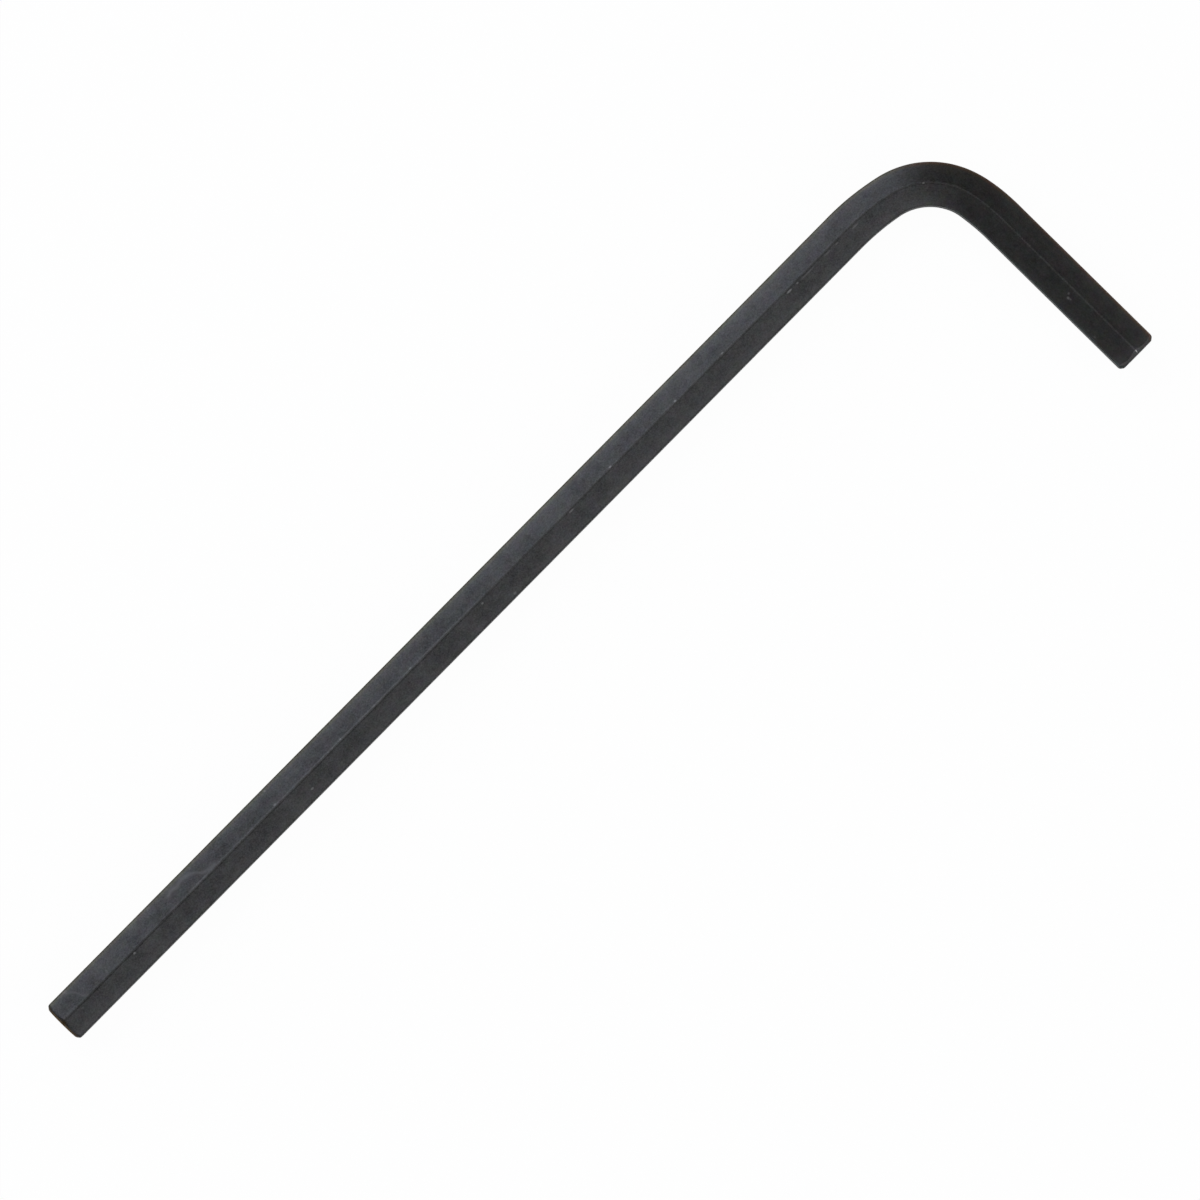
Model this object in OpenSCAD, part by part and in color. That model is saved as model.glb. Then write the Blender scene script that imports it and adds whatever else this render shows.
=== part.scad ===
// Long-arm hexagon key: one length of drawn hexagon bar, turned down at both tips and bent cold to a right angle.
// It lies flat on its lower corners, with the long arm along X, the bend at +X and the short arm pointing to -Y.
// The origin is under the middle of its box, on the surface that it lies on.

/* [Bar] */
// Size of the socket that the key fits, across its flats
key_size = 4; // [3:0.5:6]
// How far the bar measures under that size, across its flats
size_allowance = 0.03; // [0:0.01:0.1]
// Radius of the six long corners of the bar
corner_r = 0.3; // [0.1:0.05:0.45]

/* [Arms] */
// Long arm, from its tip to the outer side of the short arm
long_arm = 110; // [60:1:160]
// Short arm, from its tip to the outer side of the long arm
short_arm = 27.8; // [20:0.2:45]

/* [Bend] */
// Radius of the tight middle of the bend, at the bar's axis
bend_r = 6.7; // [5:0.1:9]
// Radius of the easy curve that leads into the bend from the long arm
long_lead_r = 23.5; // [12:0.5:40]
// Turn of the easy curve on the long arm's side, in degrees
long_lead_turn = 12; // [4:1:20]
// Radius of the easy curve that leads out of the bend into the short arm
short_lead_r = 19; // [12:0.5:40]
// Turn of the easy curve on the short arm's side, in degrees
short_lead_turn = 10; // [4:1:20]
// How far stretching draws each flat in through the tight middle of the bend
bend_draw_in = 0.06; // [0.02:0.01:0.1]

/* [Tips] */
// Radius of the flat end face, where the turned chamfer starts
tip_face_r = 1.7; // [1.2:0.02:1.8]
// Slope of the turned chamfer, in degrees from the end face
tip_slope = 38; // [25:1:50]
// Radius that softens the edge between the end face and the chamfer
tip_edge_r = 0.2; // [0.05:0.05:0.4]

/* [Hidden] */
$fn = 96;

// Flat pieces that each rounded corner of the bar, and each softened tip edge, is drawn with
corner_steps = 6;
edge_steps = 4;
// How far each curved length runs on into its neighbours, so that they are one piece of steel
lap = 0.1;
// Half the turn from one flat of a hexagon to the next
half_side = 30;

// Distance from the bar's axis to a flat, and to the crown of a rounded corner
flat_d = (key_size - size_allowance) / 2;
crown_d = (flat_d - corner_r) / cos(half_side) + corner_r;

// The key turns a right angle, shared between the two easy curves and the tight middle
bend_turn = 90;
middle_end = bend_turn - short_lead_turn;
middle_turn = middle_end - long_lead_turn;

// How far the bend carries the bar's axis along the long arm, and then along the short arm
bend_along_long = long_lead_r * sin(long_lead_turn)
    + bend_r * (sin(middle_end) - sin(long_lead_turn))
    + short_lead_r * (1 - sin(middle_end));
bend_along_short = long_lead_r * (1 - cos(long_lead_turn))
    + bend_r * (cos(long_lead_turn) - cos(middle_end))
    + short_lead_r * cos(middle_end);

// Straight lengths left once the bend has taken its share of each arm
long_straight = long_arm - flat_d - bend_along_long;
short_straight = short_arm - flat_d - bend_along_short;

// Points round one corner of the bar, on an arc that meets both of its flats
function corner_points(middle, flat_at) = [
    for (step = [0:corner_steps])
        let (way = middle - half_side + step * 2 * half_side / corner_steps)
        let (centre = (flat_at - corner_r) / cos(half_side))
        [centre * cos(middle) + corner_r * cos(way), centre * sin(middle) + corner_r * sin(way)]
];

// The bar's section, with two flats square to the plane of the bend, and one corner up and one down
module bar_section(draw_in = 0) {
    polygon([for (corner = [0:5]) each corner_points(half_side * (2 * corner + 1), flat_d - draw_in)]);
}

// Half the outline of a turned tip: end face, softened edge and chamfer, opening out past the bar's corners
module tip_outline(length) {
    edge_start = tip_face_r - tip_edge_r * tan(tip_slope / 2);
    clear_r = 2 * crown_d;
    polygon([
        [0, 0],
        for (step = [0:edge_steps])
            let (way = step * tip_slope / edge_steps)
            [edge_start + tip_edge_r * sin(way), tip_edge_r * (1 - cos(way))],
        [clear_r, (clear_r - tip_face_r) * tan(tip_slope)],
        [clear_r, 2 * length],
        [0, 2 * length]
    ]);
}

// A straight arm that runs to -X from the origin and ends in a turned tip
module straight_bar(length) {
    translate([-length, 0, 0])
        rotate([0, 90, 0])
            intersection() {
                linear_extrude(height = length)
                    rotate([0, 0, 90])
                        bar_section();
                rotate_extrude()
                    tip_outline(length);
            }
}

// A curved length of bar that leaves the origin along +X and turns towards -Y
module curved_bar(radius, turn, draw_in) {
    lap_turn = lap / radius * 180 / PI;
    translate([0, -radius, 0])
        rotate_extrude(angle = turn + 2 * lap_turn, start = 90 - turn - lap_turn)
            translate([radius, 0])
                bar_section(draw_in);
}

// Carries what follows to the far end of a curved length of bar
module after_curve(radius, turn) {
    translate([0, -radius, 0])
        rotate([0, 0, -turn])
            translate([0, radius, 0])
                children();
}

module hex_key() {
    color([0.22, 0.23, 0.25])
        translate([long_arm / 2 - flat_d - bend_along_long, short_arm / 2 - flat_d, crown_d]) {
            straight_bar(long_straight);
            curved_bar(long_lead_r, long_lead_turn, bend_draw_in / 2);
            after_curve(long_lead_r, long_lead_turn) {
                curved_bar(bend_r, middle_turn, bend_draw_in);
                after_curve(bend_r, middle_turn) {
                    curved_bar(short_lead_r, short_lead_turn, bend_draw_in / 2);
                    after_curve(short_lead_r, short_lead_turn)
                        mirror([1, 0, 0])
                            straight_bar(short_straight);
                }
            }
        }
}

hex_key();
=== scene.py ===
import math

import bmesh
import bpy
from mathutils import Matrix, Vector, noise


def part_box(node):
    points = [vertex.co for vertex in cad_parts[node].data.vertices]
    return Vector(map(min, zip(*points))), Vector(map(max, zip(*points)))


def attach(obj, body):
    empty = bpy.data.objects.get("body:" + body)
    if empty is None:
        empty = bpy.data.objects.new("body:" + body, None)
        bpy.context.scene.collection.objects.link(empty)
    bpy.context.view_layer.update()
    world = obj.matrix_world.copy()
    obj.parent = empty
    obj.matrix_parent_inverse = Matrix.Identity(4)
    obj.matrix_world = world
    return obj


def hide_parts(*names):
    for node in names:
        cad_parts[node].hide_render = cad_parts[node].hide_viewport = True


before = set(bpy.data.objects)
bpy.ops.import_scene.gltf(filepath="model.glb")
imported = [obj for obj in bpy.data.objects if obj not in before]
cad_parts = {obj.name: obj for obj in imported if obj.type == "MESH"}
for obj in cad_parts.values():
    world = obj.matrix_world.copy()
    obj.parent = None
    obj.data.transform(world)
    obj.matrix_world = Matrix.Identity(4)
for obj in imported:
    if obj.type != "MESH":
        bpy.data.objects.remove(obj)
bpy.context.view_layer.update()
keyLow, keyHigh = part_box("hex_key")
mm = 0.001
print("frame: hex_key from", keyLow, "to", keyHigh)

bar = {
    "acrossFlats": 3.97 * mm,
    "cornerRadius": 0.3 * mm,
    "cornerSteps": 8,  # strips round each long corner
    "flatCuts": 8,  # cuts across each flat
    "straightGap": 0.3 * mm,  # between rings along the straight arms
    "bendGap": 0.2 * mm,  # and round the bend
    "nickGap": 0.07 * mm,  # and across each nick
    "leastGap": 0.03 * mm,  # rings closer than this are left out
}
bend = {
    "longLead": (23.5 * mm, math.radians(12)),  # radius and turn of each arc, from the long arm on
    "middle": (6.7 * mm, math.radians(68)),
    "shortLead": (19.0 * mm, math.radians(10)),
    "drawIn": 0.06 * mm,  # how far stretching thins each side of the bend
    "ease": 1.5 * mm,  # spreads the start and end of the thinning
}
tip = {
    "faceRadius": 1.7 * mm,
    "slope": math.radians(38),  # of the chamfer, from the end face
    "edgeRadius": 0.2 * mm,  # softens the edge of the end face
    "blend": 0.05 * mm,  # softens the chamfer's edge on the flats
    "reach": 0.8 * mm,  # length that gets close rings
    "edgeRings": 5,
    "rings": 20,
}
wear = {
    "depth": 0.012 * mm,  # how far handling has worn the long corners down, at most
    "patch": 1.1 * mm,  # length of a worn patch
    "width": 0.22 * mm,  # of the worn band, from the crown of a corner
    "nickReach": 3,  # half lengths from its middle over which a nick is pressed in
    "nickEdge": (1.6, 0.2),  # square of the distance, in half sizes, over which a nick's rub comes in
}
# Nicks, as mm from the long tip and mm round the bar from its top corner, half length, half width, depth, rub
nicks = [
    (2.15, 2.05, 0.25, 0.20, 0.006, 0.04),
    (6.05, 0.45, 0.12, 0.18, 0.006, 0.025),
    (8.9, -0.24, 0.13, 0.11, 0.015, 0.14),
    (12.5, 1.95, 0.25, 0.14, 0.006, 0.03),
    (17.5, 1.85, 0.14, 0.16, 0.006, 0.04),
    (26.75, 0.20, 0.16, 0.10, 0.012, 0.10),
    (26.95, 1.95, 0.12, 0.10, 0.010, 0.08),
    (30.05, -1.30, 0.16, 0.10, 0.010, 0.12),
    (33.3, 0.10, 0.10, 0.08, 0.010, 0.08),
    (33.8, 0.08, 0.10, 0.08, 0.010, 0.08),
    (34.85, 0.15, 0.12, 0.09, 0.012, 0.12),
    (39.0, 0.10, 0.24, 0.08, 0.010, 0.09),
    (43.55, 0.17, 0.18, 0.08, 0.010, 0.10),
    (46.0, 0.05, 0.12, 0.08, 0.010, 0.09),
    (52.05, -0.38, 0.12, 0.10, 0.015, 0.12),
    (54.7, -1.95, 0.16, 0.12, 0.010, 0.08),
    (63.3, -0.20, 0.30, 0.09, 0.015, 0.10),
    (68.4, 0.12, 0.16, 0.09, 0.018, 0.14),
    (76.5, 0.13, 0.14, 0.10, 0.015, 0.14),
    (82.4, 0.14, 0.14, 0.10, 0.012, 0.10),
    (90.4, -0.26, 0.30, 0.10, 0.015, 0.17),
    (91.4, -0.26, 0.12, 0.09, 0.012, 0.12),
    (92.6, -0.28, 0.80, 0.08, 0.012, 0.06),
    (95.1, -0.28, 0.40, 0.08, 0.010, 0.06),
    (96.3, -0.28, 0.20, 0.08, 0.010, 0.07),
    (98.5, -0.34, 0.35, 0.09, 0.010, 0.06),
    (105.8, -0.02, 0.12, 0.09, 0.015, 0.14),
    (122.4, -0.64, 0.10, 0.13, 0.008, 0.14),
    (122.65, -0.99, 0.14, 0.13, 0.012, 0.24),
    (122.87, -0.93, 0.11, 0.10, 0.008, 0.15),
    (126.7, -1.90, 0.12, 0.10, 0.008, 0.07),
    (130.2, 0.00, 0.14, 0.14, 0.015, 1.0),
]

flatAt = bar["acrossFlats"] / 2
halfSide = math.radians(30)
flatHalf = (flatAt - bar["cornerRadius"]) * math.tan(halfSide)
crownAt = (flatAt - bar["cornerRadius"]) / math.cos(halfSide) + bar["cornerRadius"]
pitch = 2 * (flatHalf + bar["cornerRadius"] * halfSide)  # round the bar, from one long corner to the next
girth = 6 * pitch
arcs = [bend["longLead"], bend["middle"], bend["shortLead"]]


def bendTravel():
    alongLong = 0.0
    alongShort = 0.0
    heading = 0.0
    for radius, turn in arcs:
        alongLong += radius * (math.sin(heading + turn) - math.sin(heading))
        alongShort += radius * (math.cos(heading) - math.cos(heading + turn))
        heading += turn
    return alongLong, alongShort


alongLong, alongShort = bendTravel()
longAxisY = keyHigh.y - flatAt
shortAxisX = keyHigh.x - flatAt
axisZ = keyLow.z + crownAt
longStraight = shortAxisX - alongLong - keyLow.x
shortStraight = longAxisY - alongShort - keyLow.y
bendStart = longStraight
tightStart = bendStart + arcs[0][0] * arcs[0][1]
tightEnd = tightStart + arcs[1][0] * arcs[1][1]
bendEnd = tightEnd + arcs[2][0] * arcs[2][1]
barLength = bendEnd + shortStraight


def easeStep(value):
    value = min(1.0, max(0.0, value))
    return value * value * (3 - 2 * value)


# Where a point of the bar's axis lies once the bar is bent, and which way the bar heads there
def pathPlace(travel):
    x = keyLow.x + min(travel, longStraight)
    y = longAxisY
    heading = 0.0
    left = travel - longStraight
    for radius, turn in arcs:
        if left <= 0:
            break
        step = min(left / radius, turn)
        x += radius * (math.sin(heading + step) - math.sin(heading))
        y -= radius * (math.cos(heading) - math.cos(heading + step))
        heading += step
        left -= radius * turn
    if left > 0:
        y -= left
    return x, y, heading


def thinning(travel):
    rise = easeStep((travel - bendStart) / (tightStart - bendStart + bend["ease"]))
    fall = easeStep((tightEnd + bend["ease"] - travel) / (2 * bend["ease"]))
    return bend["drawIn"] * min(rise, fall)


# Radius of the turned tip at a depth behind its end face
def turnedRadius(depth):
    edge = tip["edgeRadius"]
    slope = tip["slope"]
    if depth < edge * (1 - math.cos(slope)):
        way = math.acos(1 - depth / edge)
        return tip["faceRadius"] - edge * math.tan(slope / 2) + edge * math.sin(way)
    return tip["faceRadius"] + depth / math.tan(slope)


def softLeast(first, second, blend):
    gap = max(0.0, 1 - abs(first - second) / blend)
    return min(first, second) - blend * gap * gap / 4


# Distance round the section from the top corner, positive to the outer side of the bend
def aroundBar(y, z):
    sideTurn = 2 * halfSide
    side = round(math.atan2(y, z) / sideTurn - 0.5)
    normal = (side + 0.5) * sideTurn
    across = y * math.cos(normal) - z * math.sin(normal)
    past = min(1.0, max(0.0, abs(across) - flatHalf) / bar["cornerRadius"])
    reach = min(abs(across), flatHalf) + bar["cornerRadius"] * math.asin(past)
    return (side + 0.5) * pitch + math.copysign(reach, across)


def tipDepths():
    edge = tip["edgeRadius"]
    ways = [tip["slope"] * k / tip["edgeRings"] for k in range(1, tip["edgeRings"] + 1)]
    depths = [edge * (1 - math.cos(way)) for way in ways]
    rest = tip["reach"] - depths[-1]
    return depths + [depths[-1] + rest * k / tip["rings"] for k in range(1, tip["rings"] + 1)]


def spread(start, end, gap):
    count = max(1, round((end - start) / gap))
    return [start + (end - start) * k / count for k in range(1, count + 1)]


def ringPlaces():
    depths = tipDepths()
    places = spread(tip["reach"], bendStart, bar["straightGap"])
    places += spread(bendStart, bendEnd, bar["bendGap"])
    places += spread(bendEnd, barLength - tip["reach"], bar["straightGap"])
    for along, around, halfLength, halfWidth, deep, rub in nicks:
        places += spread((along - 2 * halfLength) * mm, (along + 2 * halfLength) * mm, bar["nickGap"])
    places = [place for place in places if tip["reach"] < place < barLength - tip["reach"]]
    kept = depths[:-1] + [tip["reach"]]
    for place in sorted(places):
        if place - kept[-1] > bar["leastGap"]:
            kept.append(place)
    return kept + [barLength - depth for depth in reversed(depths)]


def drawSection(bm):
    # Square to the bar, with a corner up
    standing = Matrix(((0, 0, 1, 0), (1, 0, 0, 0), (0, 1, 0, 0), (0, 0, 0, 1)))
    sharpCorner = flatAt / math.cos(halfSide)
    made = bmesh.ops.create_circle(bm, cap_ends=True, segments=6, radius=sharpCorner, matrix=standing)
    bmesh.ops.bevel(
        bm,
        geom=made["verts"],
        affect="VERTICES",
        offset_type="OFFSET",
        offset=bar["cornerRadius"] * math.tan(halfSide),
        segments=bar["cornerSteps"],
        profile=0.5,
        material=-1,
        clamp_overlap=False,
    )
    flats = [edge for edge in bm.edges if edge.calc_length() > bar["cornerRadius"]]
    bmesh.ops.subdivide_edges(bm, edges=flats, cuts=bar["flatCuts"])


# The section is drawn out to the whole bar in one go, and then ringed from the long tip on
def drawBar(bm):
    made = bmesh.ops.extrude_face_region(bm, geom=list(bm.faces), use_keep_orig=True)
    farVerts = [part for part in made["geom"] if isinstance(part, bmesh.types.BMVert)]
    bmesh.ops.translate(bm, verts=farVerts, vec=(barLength, 0, 0))
    farCap = [part for part in made["geom"] if isinstance(part, bmesh.types.BMFace)][0]
    places = ringPlaces()
    for place in places:
        ahead = {face for vert in farCap.verts for face in vert.link_faces} - {farCap}
        edges = {edge for face in ahead for edge in face.edges}
        bmesh.ops.bisect_plane(bm, geom=[*ahead, *edges], plane_co=(place, 0, 0), plane_no=(1, 0, 0))
    print("bar: drawn out with", len(places), "rings")


def turnTips(bm):
    for vert in bm.verts:
        depth = min(vert.co.x, barLength - vert.co.x)
        if depth > tip["reach"]:
            continue
        full = math.hypot(vert.co.y, vert.co.z)
        share = softLeast(full, turnedRadius(max(0.0, depth)), tip["blend"]) / full
        vert.co.y *= share
        vert.co.z *= share


def wearCorners(bm):
    for vert in bm.verts:
        away = abs(math.remainder(aroundBar(vert.co.y, vert.co.z), pitch))
        if away > wear["width"]:
            continue
        patch = noise.noise(vert.co / wear["patch"])
        worn = 1 - wear["depth"] * easeStep(patch + 0.5) * (1 - away / wear["width"]) / crownAt
        vert.co.y *= worn
        vert.co.z *= worn


def pressNicks(bm):
    for along, around, halfLength, halfWidth, deep, rub in nicks:
        reach = wear["nickReach"] * halfLength
        for vert in bm.verts:
            offAlong = vert.co.x / mm - along
            if abs(offAlong) > reach:
                continue
            offAround = (aroundBar(vert.co.y, vert.co.z) / mm - around) / halfWidth
            share = math.exp(-((offAlong / halfLength) ** 2) - offAround ** 2)
            radius = math.hypot(vert.co.y, vert.co.z)
            vert.co.y *= 1 - deep * mm * share / radius
            vert.co.z *= 1 - deep * mm * share / radius
    print("bar: tips turned, long corners worn and", len(nicks), "nicks pressed in")


# Keeps where each point lies on the straight bar: as a UV map along and round it, and as a position
def markStraight(bm):
    straight = bm.verts.layers.float_vector.new("straight")
    for vert in bm.verts:
        vert[straight] = vert.co
    unrolled = bm.loops.layers.uv.new("Unrolled")
    for face in bm.faces:
        middle = face.calc_center_median()
        home = aroundBar(middle.y, middle.z)
        endFace = len(face.verts) > 4  # all the others have four sides
        for loop in face.loops:
            around = aroundBar(loop.vert.co.y, loop.vert.co.z)
            around = pitch / 2 if endFace else home + math.remainder(around - home, girth)
            loop[unrolled].uv = (loop.vert.co.x / barLength, around / girth + 0.5)


def bendBar(bm):
    for vert in bm.verts:
        x, y, heading = pathPlace(vert.co.x)
        across = vert.co.y * (1 - thinning(vert.co.x) / flatAt)
        vert.co = (x + across * math.sin(heading), y + across * math.cos(heading), axisZ + vert.co.z)
    print("bar: bent")


def faceOutwards(bm):
    bmesh.ops.recalc_face_normals(bm, faces=list(bm.faces))
    if bm.calc_volume(signed=True) < 0:  # they agree with each other, but all point inwards
        bmesh.ops.reverse_faces(bm, faces=list(bm.faces))


def makeKey():
    bm = bmesh.new()
    drawSection(bm)
    drawBar(bm)
    turnTips(bm)
    wearCorners(bm)
    pressNicks(bm)
    markStraight(bm)
    bendBar(bm)
    faceOutwards(bm)
    for face in bm.faces:
        face.smooth = True
    mesh = bpy.data.meshes.new("keyBar")
    bm.to_mesh(mesh)
    bm.free()
    piece = bpy.data.objects.new("key_bar", mesh)
    bpy.context.scene.collection.objects.link(piece)
    weighted = piece.modifiers.new("Even flats", "WEIGHTED_NORMAL")
    weighted.keep_sharp = True
    return piece


class Wire:
    def __init__(self, finish, socket):
        self.finish = finish
        self.socket = socket

    def math(self, operation, first, second):
        return self.finish.add("ShaderNodeMath", {"operation": operation}, {0: first, 1: second})

    def __add__(self, other):
        return self.math("ADD", self, other)

    def __radd__(self, other):
        return self.math("ADD", other, self)

    def __sub__(self, other):
        return self.math("SUBTRACT", self, other)

    def __rsub__(self, other):
        return self.math("SUBTRACT", other, self)

    def __mul__(self, other):
        return self.math("MULTIPLY", self, other)

    def __rmul__(self, other):
        return self.math("MULTIPLY", other, self)

    def __truediv__(self, other):
        return self.math("DIVIDE", self, other)

    def __pow__(self, other):
        return self.math("POWER", self, other)

    def __abs__(self):
        return self.finish.add("ShaderNodeMath", {"operation": "ABSOLUTE"}, {0: self})


class Finish:
    def __init__(self, tree):
        self.tree = tree
        tree.nodes.clear()

    # Takes the node's type, its settings, the values or links of its sockets, and which output to give back
    def add(self, kind, settings=None, sockets=None, output=0):
        node = self.tree.nodes.new(kind)
        for key, value in (settings or {}).items():
            if key == "stops":
                self.setStops(node.color_ramp, value)
            else:
                setattr(node, key, value)
        for key, value in (sockets or {}).items():
            if isinstance(value, Wire):
                self.tree.links.new(value.socket, node.inputs[key])
            else:
                node.inputs[key].default_value = value
        return Wire(self, node.outputs[output]) if node.outputs else None

    def setStops(self, ramp, stops):
        while len(ramp.elements) < len(stops):
            ramp.elements.new(1.0)
        for element, (place, level) in zip(ramp.elements, stops):
            element.position = place
            element.color = (level, level, level, 1)

    def scaled(self, vector, scale):
        return self.add("ShaderNodeVectorMath", {"operation": "MULTIPLY"}, {0: vector, 1: scale})

    # A pattern is its scale, detail and roughness, and any scaling along, across and up the bar
    def noise(self, vector, pattern, output=0):
        scale, detail, roughness, stretch = pattern
        if stretch:
            vector = self.scaled(vector, stretch)
        return self.add(
            "ShaderNodeTexNoise",
            {"noise_dimensions": "3D"},
            {"Vector": vector, "Scale": scale, "Detail": detail, "Roughness": roughness},
            output,
        )

    def fade(self, value, low, high, lowOut=0.0, highOut=1.0):
        return self.add(
            "ShaderNodeMapRange",
            {"clamp": True, "interpolation_type": "SMOOTHSTEP"},
            {"Value": value, "From Min": low, "From Max": high, "To Min": lowOut, "To Max": highOut},
        )

    def most(self, first, second):
        return self.add("ShaderNodeMath", {"operation": "MAXIMUM"}, {0: first, 1: second})

    def mixed(self, share, first, second, blend="MIX"):
        return self.add(
            "ShaderNodeMix",
            {"data_type": "RGBA", "blend_type": blend},
            {0: share, 6: first, 7: second},
            2,
        )


oxide = {
    "black": (0.0480, 0.0485, 0.0495, 1),
    "bare": (0.55, 0.55, 0.55, 1),  # steel showing through where it is rubbed
    "metallic": 0.9,
    "grazing": (0.3, 0.3, 0.3, 1),  # tint of the reflection at a low angle, which the rough oxide dulls
    "roughness": 0.31,  # before what each of these three adds to it
    "mottleRough": 0.08,
    "lineRough": 0.06,
    "rubbedRough": -0.10,
    "mottleTone": 2.1,  # how strongly the mottle and the grain lighten and darken it
    "grainTone": 1.5,
    "bump": 0.3,
    "bumpDepth": 0.004 * mm,
    "grainBump": 0.6,
    "lineBump": 0.4,
}
# Patterns in the oxide, as scale per mm, detail, roughness, and any scaling along, across and up the bar
patterns = {
    "mottle": (0.3, 6.0, 0.95, None),
    "grain": (7.0, 2.0, 0.7, None),
    "lines": (8.0, 3.0, 0.6, (0.07, 1, 1)),  # left by drawing the bar
    "swirl": (1.0, 4.0, 0.8, None),  # slow changes of colour
    "broken": (1.0, 3.0, 0.65, (0.5, 2.0, 2.0)),  # gaps in the lines beside the top corner
    "wobble": (0.9, 3.0, 0.6, (1.0, 0.0, 0.0)),  # and how those lines wander
}
wobbleWidth = 0.16  # mm

# A fade is the value where it starts and the one where it ends, and then its share at each if not 0 and 1.
# "along" and "until" are mm from the long tip, and "end" is mm from the nearer tip. "level" is mm round the
# bar from its top or bottom corner, positive to the bend's outer side, and "ridge" is that on either side.
# These are painted light and shade, the bar lighter or darker where more or less light falls on it: each adds
# "by" times its fades
paintedLightShade = [
    {"by": 0.22, "over": {"level": (0.8, 2.05)}},  # painted light towards the outer long corner
    {"by": 0.08, "over": {"level": (1.0, 1.9)}},
    {"by": 0.20, "over": {"level": (-1.2, -2.1)}},  # painted light towards the inner one
    {"by": 0.08, "over": {"along": (45.0, 70.0), "until": (107.0, 103.0)}},  # painted light on the long arm, near the bend
    {"by": 0.088, "over": {"along": (45.0, 70.0), "until": (107.0, 103.0), "level": (-0.1, 0.2)}},
    {"by": 0.28, "over": {"along": (109.5, 113.5), "level": (-0.3, 0.4)}},  # painted light on the short arm, outer side
    {"by": 0.26, "over": {"along": (105.5, 109.5), "level": (0.3, -0.3)}},  # and inner side
    # painted light on the short arm, towards its tip
    {"by": 0.18, "over": {"along": (117.0, 128.0)}},
    {"by": 0.46, "over": {"along": (40.0, 60.0), "end": (1.6, 0.3)}},  # painted light on the short tip
    {"by": -0.25, "over": {"end": (0.5, 0.3)}},  # painted shade on both end faces and chamfers
    {"by": -0.18, "over": {"along": (108.0, 112.0), "ridge": (0.22, 0.05)}},  # painted shade on the short arm's top corner
]
tints = {
    "longArm": (107.0, 103.0),
    "swirl": (103.0, 108.0, 0.3, 0.45),  # share of the swirl, along the bar
    "warmBend": (1.05, 0.98, 0.89, 1),  # the bend's outer flats, and a little of it on the short arm
    "warmLeast": 0.3,  # share of it on the short arm
    "warmFrom": (103.5, 107.0),
    "warmUntil": (113.5, 110.5),
    "warmFlats": (0.6, 1.9),
    "oliveEdge": (1.46, 1.42, 1.15, 1),  # how the outer long corners differ along the long arm
    "redEdge": (1.6, 1.15, 0.92, 1),  # and along the short arm
    "outerCorner": ((1.75, 2.15), (2.75, 2.45)),
    "tealEdge": (0.55, 0.75, 0.75, 1),  # the short arm's inner long corners
    "innerCorner": ((-2.1, -2.3), (-2.75, -2.45)),
    "tealFrom": (107.0, 111.0),
}
# Painted shade: the dark line just inside the long arm's top corner
paintedCreaseShade = {
    "inside": 0.12,  # mm from the corner
    "width": (0.08, 0.02),
    "gaps": (0.3, 0.6, 0.4, 1.0),
    "from": (1.6, 2.2),
    "strength": (8.0, 14.0, 0.30, 0.08),
}
# The light line that handling has rubbed on that corner
crest = {
    "outside": (48.0, 54.0, 0.06, -0.02),  # mm from the corner, along the bar
    "width": (0.20, 0.04),
    "gaps": (0.38, 0.62, 0.028, 0.055),
    "from": (10.0, 17.0, 0.2, 1.0),
    "later": (48.0, 54.0, 1.0, 0.65),
}
# The rust on the long tip
rust = {
    "brown": (0.13, 0.09, 0.05, 1),  # the rim
    "rim": (0.26, 0.08, 0.0, 0.75),
    "ragged": 0.3,  # mm by which the grain moves the rim's edge
    "ring": (1.2, 1.65, 0.15, 1.0),  # mm from the bar's axis, on the end face
    "dark": (0.03, 0.018, 0.004, 1),  # the spot on the rim
    "spotEnd": (0.6, 0.2),
    "spotInside": 0.1,  # mm from the top corner
    "spotWidth": (0.5, 0.1, 0.0, 0.8),
}
# Scratches that wander over the outer upper flat, as mm along the bar and mm round it from the top corner
scratches = [
    {
        "points": [
            (1.9, 1.95),
            (2.24, 1.77),
            (2.63, 1.43),
            (2.93, 0.97),
            (3.0, 0.62),
            (3.25, 0.21),
            (3.6, 0.15),
        ],
        "halfWidth": 0.34,
        "rub": 0.032,
    },
    {
        "points": [
            (14.3, 1.30),
            (14.9, 1.56),
            (15.7, 1.44),
            (16.3, 1.70),
            (16.9, 1.50),
            (17.3, 1.35),
            (17.8, 0.96),
            (18.0, 0.60),
            (18.5, 0.30),
            (19.6, 0.22),
        ],
        "halfWidth": 0.36,
        "rub": 0.046,
    },
]
scratchSpan = 2  # mm round the bar for a ramp's whole height
scratchEnd = 0.3  # mm over which a scratch runs out, to each side of its end


def nickMask(finish, along, around, rough):
    mask = 0.0
    for place, turn, halfLength, halfWidth, deep, rub in nicks:
        away = ((along - place) / halfLength) ** 2 + ((around - turn) / halfWidth) ** 2
        mask = finish.most(mask, finish.fade(away + rough, *wear["nickEdge"], 0.0, rub))
    return mask


def scratchMask(finish, along, around, rough):
    mask = 0.0
    for scratch in scratches:
        first = scratch["points"][0][0]
        last = scratch["points"][-1][0]
        stops = [((place - first) / (last - first), turn / scratchSpan) for place, turn in scratch["points"]]
        course = finish.add("ShaderNodeValToRGB", {"stops": stops}, {0: (along - first) / (last - first)})
        away = abs(around - scratchSpan * course) + rough
        line = finish.fade(away, scratch["halfWidth"], 0.0, 0.0, scratch["rub"])
        starts = finish.fade(along, first - scratchEnd, first + scratchEnd)
        ends = finish.fade(along, last + scratchEnd, last - scratchEnd)
        mask = finish.most(mask, line * (starts * ends))
    return mask


# Sums the painted light and shade: one, plus each entry's "by" times its fades
def paintedLightSum(finish, measures):
    total = 1.0
    for shade in paintedLightShade:
        part = shade["by"]
        for measure, fade in shade["over"].items():
            part = part * finish.fade(measures[measure], *fade)
        total = total + part
    return total


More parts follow.
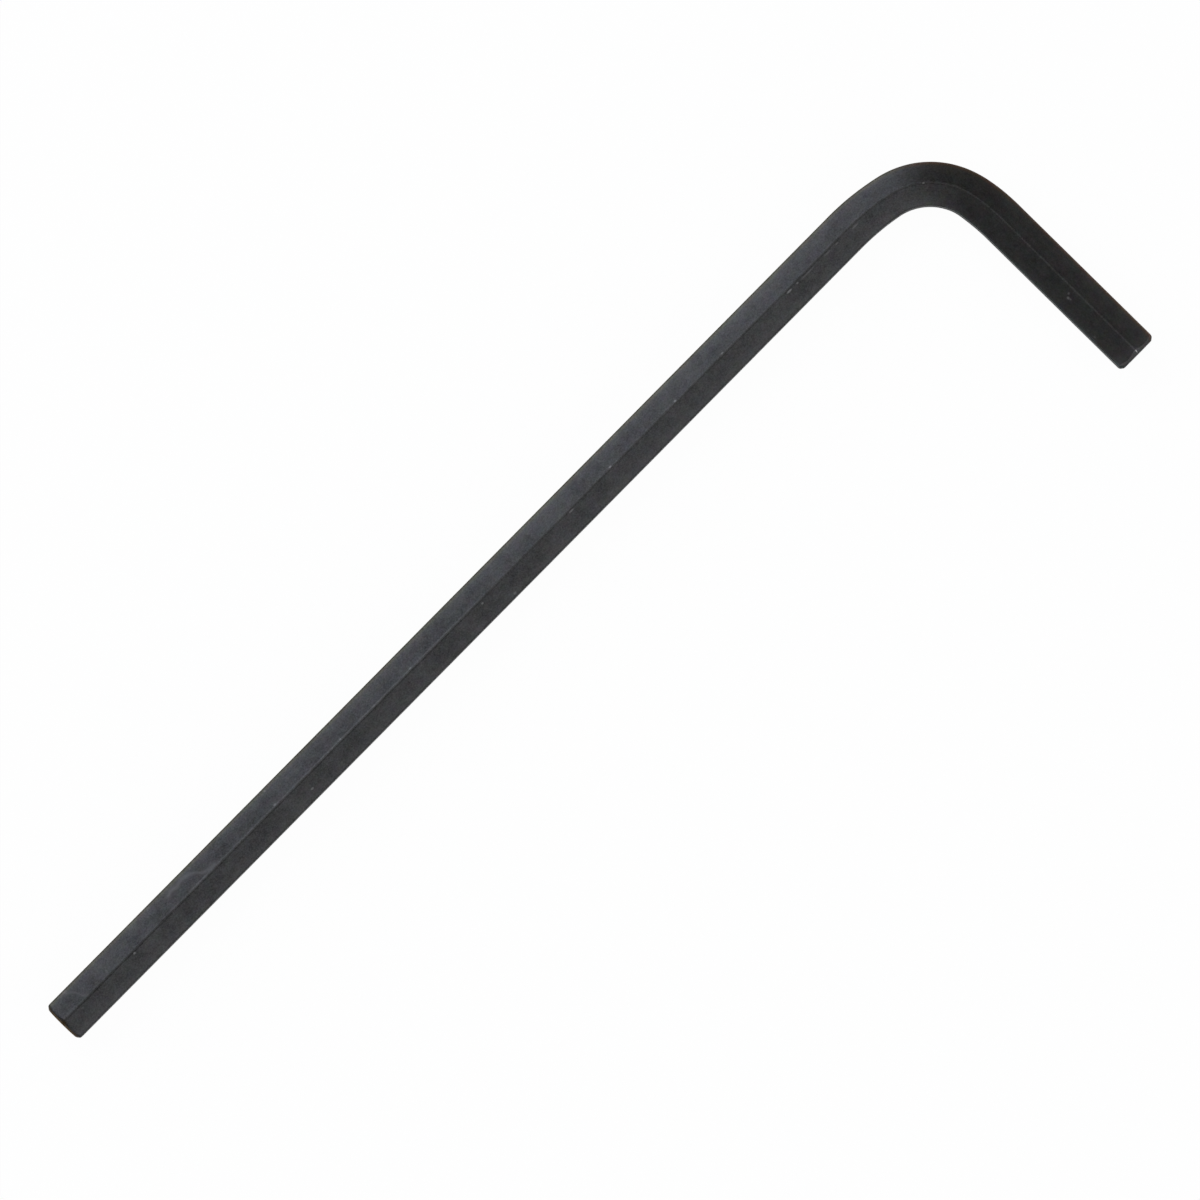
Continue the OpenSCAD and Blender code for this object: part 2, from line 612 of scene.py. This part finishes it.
def tintedTone(finish, tone, along, level, longArm):
    outerFlats = finish.fade(level, *tints["warmFlats"]) * finish.fade(along, *tints["warmUntil"])
    warm = tints["warmLeast"] + (1 - tints["warmLeast"]) * outerFlats
    warm = finish.fade(along, *tints["warmFrom"]) * warm
    tone = finish.mixed(warm, tone, finish.mixed(1.0, tone, tints["warmBend"], "MULTIPLY"))

    outer = finish.mixed(longArm, tints["redEdge"], tints["oliveEdge"])
    outer = finish.mixed(1.0, tone, outer, "MULTIPLY")
    start, end = tints["outerCorner"]
    tone = finish.mixed(finish.fade(level, *start) * finish.fade(level, *end), tone, outer)
    inner = finish.mixed(1.0, tone, tints["tealEdge"], "MULTIPLY")
    start, end = tints["innerCorner"]
    innerCorner = finish.fade(level, *start) * finish.fade(level, *end)
    return finish.mixed(innerCorner * finish.fade(along, *tints["tealFrom"]), tone, inner)


def rustedTip(finish, colour, place, along, level, grain):
    flattened = finish.scaled(place, (0, 1, 1))
    radial = finish.add("ShaderNodeVectorMath", {"operation": "LENGTH"}, {0: flattened}, "Value")
    rim = finish.fade(along + (grain - 0.5) * rust["ragged"], *rust["rim"])
    rim = rim * finish.fade(radial, *rust["ring"])
    colour = finish.mixed(rim, colour, rust["brown"])
    spot = finish.fade(abs(level + rust["spotInside"]), *rust["spotWidth"])
    spot = finish.fade(along, *rust["spotEnd"]) * spot
    return finish.mixed(spot, colour, rust["dark"])


def oxideFinish():
    material = bpy.data.materials.new("blackOxide")
    material.use_nodes = True
    finish = Finish(material.node_tree)
    straight = finish.add("ShaderNodeAttribute", {"attribute_name": "straight"}, None, 1)
    place = finish.scaled(straight, (1 / mm, 1 / mm, 1 / mm))  # mm along, across and up the straight bar
    unrolled = finish.add("ShaderNodeUVMap", {"uv_map": "Unrolled"})
    along = finish.add("ShaderNodeSeparateXYZ", None, {0: unrolled}, 0) * (barLength / mm)
    around = (finish.add("ShaderNodeSeparateXYZ", None, {0: unrolled}, 1) - 0.5) * (girth / mm)
    side = finish.add("ShaderNodeMath", {"operation": "SIGN"}, {0: around})
    sideways = 1.5 * pitch / mm  # from the top corner to the middle of a side, where it turns back
    level = side * finish.add("ShaderNodeMath", {"operation": "PINGPONG"}, {0: abs(around), 1: sideways})
    end = finish.add("ShaderNodeMath", {"operation": "PINGPONG"}, {0: along, 1: barLength / 2 / mm})

    mottle = finish.noise(place, patterns["mottle"])
    grain = finish.noise(place, patterns["grain"])
    lines = finish.noise(place, patterns["lines"])
    swirl = finish.noise(place, patterns["swirl"], "Color")
    broken = finish.noise(place, patterns["broken"])
    wobble = (finish.noise(place, patterns["wobble"]) - 0.5) * wobbleWidth
    longArm = finish.fade(along, *tints["longArm"])

    # Painted shade: the dark line just inside the long arm's top corner, broken and wandering
    dark = finish.fade(abs(level + paintedCreaseShade["inside"] + wobble), *paintedCreaseShade["width"])
    dark = dark * finish.fade(along, *paintedCreaseShade["from"]) * longArm
    dark = dark * finish.fade(broken, *paintedCreaseShade["gaps"]) * finish.fade(along, *paintedCreaseShade["strength"])
    measures = {"along": along, "until": along, "end": end, "level": level, "ridge": abs(level)}
    # Painted light and shade, less the painted dark line, then the oxide's own mottle and grain
    light = paintedLightSum(finish, measures) - dark
    light = light + oxide["mottleTone"] * (mottle - 0.5) + oxide["grainTone"] * (grain - 0.5)
    shade = finish.add("ShaderNodeCombineColor", None, {0: light, 1: light, 2: light})
    tint = finish.mixed(finish.fade(along, *tints["swirl"]), (1, 1, 1, 1), swirl)
    tint = finish.mixed(1.0, oxide["black"], tint, "MULTIPLY")
    tone = finish.mixed(1.0, tint, shade, "MULTIPLY")
    tone = tintedTone(finish, tone, along, level, longArm)

    crestAt = finish.fade(along, *crest["outside"])
    line = finish.fade(abs(level - crestAt + wobble), *crest["width"]) * finish.fade(broken, *crest["gaps"])
    line = line * longArm * finish.fade(along, *crest["from"]) * finish.fade(along, *crest["later"])
    rubbed = finish.most(line, nickMask(finish, along, around, grain - 0.5))
    rubbed = finish.most(rubbed, scratchMask(finish, along, around, grain - 0.5))
    colour = finish.mixed(rubbed, tone, oxide["bare"])
    colour = rustedTip(finish, colour, place, along, level, grain)

    rough = oxide["roughness"] + oxide["mottleRough"] * mottle + oxide["lineRough"] * lines
    rough = rough + oxide["rubbedRough"] * rubbed
    height = oxide["grainBump"] * grain + oxide["lineBump"] * lines
    bump = finish.add(
        "ShaderNodeBump", None, {"Strength": oxide["bump"], "Distance": oxide["bumpDepth"], "Height": height}
    )
    shader = finish.add(
        "ShaderNodeBsdfPrincipled",
        None,
        {
            "Base Color": colour,
            "Roughness": rough,
            "Normal": bump,
            "Metallic": oxide["metallic"],
            "Specular Tint": oxide["grazing"],
        },
    )
    finish.add("ShaderNodeOutputMaterial", None, {"Surface": shader})
    print("black oxide:", len(material.node_tree.nodes), "nodes")
    return material


floor = {
    "radius": 4.0,  # flat out to here
    "sweep": 0.5,  # radius of the curve that carries it up at its rim
    "sweepSteps": 12,
    "roundSteps": 96,
    "mergeWithin": 0.001 * mm,
    "colour": (0.95, 0.95, 0.95, 1),
    "seenWhite": 0.97,  # share of plain white that is seen, so that the shadow stays faint
}


def floorFinish():
    material = bpy.data.materials.new("paleFloor")
    material.use_nodes = True
    finish = Finish(material.node_tree)
    lit = finish.add("ShaderNodeBsdfDiffuse", None, {"Color": floor["colour"]})
    white = finish.add("ShaderNodeEmission", None, {"Color": (1, 1, 1, 1), "Strength": 1.0})
    seen = finish.add("ShaderNodeLightPath", None, None, "Is Camera Ray")
    for ray in ("Is Glossy Ray", "Is Transmission Ray"):
        seen = seen + finish.add("ShaderNodeLightPath", None, None, ray)
    surface = finish.add("ShaderNodeMixShader", None, {0: seen * floor["seenWhite"], 1: lit, 2: white})
    finish.add("ShaderNodeOutputMaterial", None, {"Surface": surface})
    return material


def makeFloor():
    bm = bmesh.new()
    profile = [bm.verts.new((0.0, 0.0, keyLow.z)), bm.verts.new((floor["radius"], 0.0, keyLow.z))]
    bm.edges.new(profile)
    bmesh.ops.spin(
        bm,
        geom=[profile[1]],
        cent=(floor["radius"], 0, keyLow.z + floor["sweep"]),
        axis=(0, -1, 0),
        angle=math.radians(90),
        steps=floor["sweepSteps"],
        space=Matrix.Identity(4),
    )
    bmesh.ops.spin(
        bm,
        geom=list(bm.verts) + list(bm.edges),
        cent=(0, 0, 0),
        axis=(0, 0, 1),
        angle=math.tau,
        steps=floor["roundSteps"],
        use_merge=True,
        space=Matrix.Identity(4),
    )
    bmesh.ops.remove_doubles(bm, verts=list(bm.verts), dist=floor["mergeWithin"])
    bmesh.ops.recalc_face_normals(bm, faces=list(bm.faces))
    mesh = bpy.data.meshes.new("floor")
    bm.to_mesh(mesh)
    bm.free()
    piece = bpy.data.objects.new("floor", mesh)
    bpy.context.scene.collection.objects.link(piece)
    mesh.materials.append(floorFinish())
    print("floor:", len(mesh.polygons), "faces")


camera = {
    "distance": 0.9,
    "lens": 307.77,
    "sensor": 36.0,
    "clip": (0.01, 20),  # nearest and farthest that it sees
    "turn": math.radians(45.358),  # of the long arm in the picture
    "leanX": math.radians(1.054),  # away from straight above, towards the long tip
    "leanY": math.radians(1.940),  # and towards the short tip
    "aim": (4.529 * mm, 4.526 * mm),
}


def makeCamera():
    data = bpy.data.cameras.new("camera")
    data.lens = camera["lens"]
    data.sensor_width = camera["sensor"]
    data.clip_start, data.clip_end = camera["clip"]
    back = Vector((-math.tan(camera["leanX"]), -math.tan(camera["leanY"]), 1)).normalized()
    right = Vector((math.cos(camera["turn"]), -math.sin(camera["turn"]), 0))
    right = (right - back * right.dot(back)).normalized()
    up = back.cross(right)
    piece = bpy.data.objects.new("camera", data)
    piece.matrix_world = Matrix((right, up, back)).transposed().to_4x4()
    piece.location = Vector((*camera["aim"], axisZ)) + back * camera["distance"]
    bpy.context.scene.collection.objects.link(piece)
    bpy.context.scene.camera = piece
    print("camera:", camera["distance"], "m from the key")


# Bearing from +X and rise above the floor in degrees, distance and size in metres, and power in watts
lights = {
    "key": {
        "bearing": 91,
        "rise": 40,
        "far": 0.6,
        "size": (0.76, 0.66),
        "power": 2.45,
        "colour": (0.87, 0.90, 1.0),
    },
    "fill": {
        "bearing": 267,
        "rise": 32,
        "far": 0.6,
        "size": (1.32, 0.44),
        "power": 1.80,
        "colour": (0.97, 0.97, 1.0),
    },
    "top": {"bearing": 0, "rise": 90, "far": 1.2, "size": (0.7, 0.7), "power": 1.05, "colour": (1, 1, 1)},
}
room = (0.30, 0.30, 0.30, 1)


def makeLights():
    for name, light in lights.items():
        data = bpy.data.lights.new(name, "AREA")
        data.shape = "RECTANGLE"
        data.size, data.size_y = light["size"]
        data.energy = light["power"]
        data.color = light["colour"]
        bearing = math.radians(light["bearing"])
        rise = math.radians(light["rise"])
        out = Vector((math.cos(bearing) * math.cos(rise), math.sin(bearing) * math.cos(rise), math.sin(rise)))
        piece = bpy.data.objects.new(name + "Light", data)
        piece.location = out * light["far"]
        piece.rotation_euler = out.to_track_quat("Z", "Y").to_euler()
        piece.visible_camera = False
        bpy.context.scene.collection.objects.link(piece)
    print("lights:", ", ".join(lights))


def makeRoom():
    world = bpy.data.worlds.new("room")
    world.use_nodes = True
    finish = Finish(world.node_tree)
    glow = finish.add("ShaderNodeBackground", None, {"Color": room})
    finish.add("ShaderNodeOutputWorld", None, {"Surface": glow})
    bpy.context.scene.world = world
    print("room: glow of", room[0])


makeCamera()
keyPiece = makeKey()
keyPiece.data.materials.append(oxideFinish())
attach(keyPiece, "root")
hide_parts("hex_key")
print("key bar:", len(keyPiece.data.polygons), "faces")
makeFloor()
makeLights()
makeRoom()
bpy.context.scene.view_settings.view_transform = "Standard"
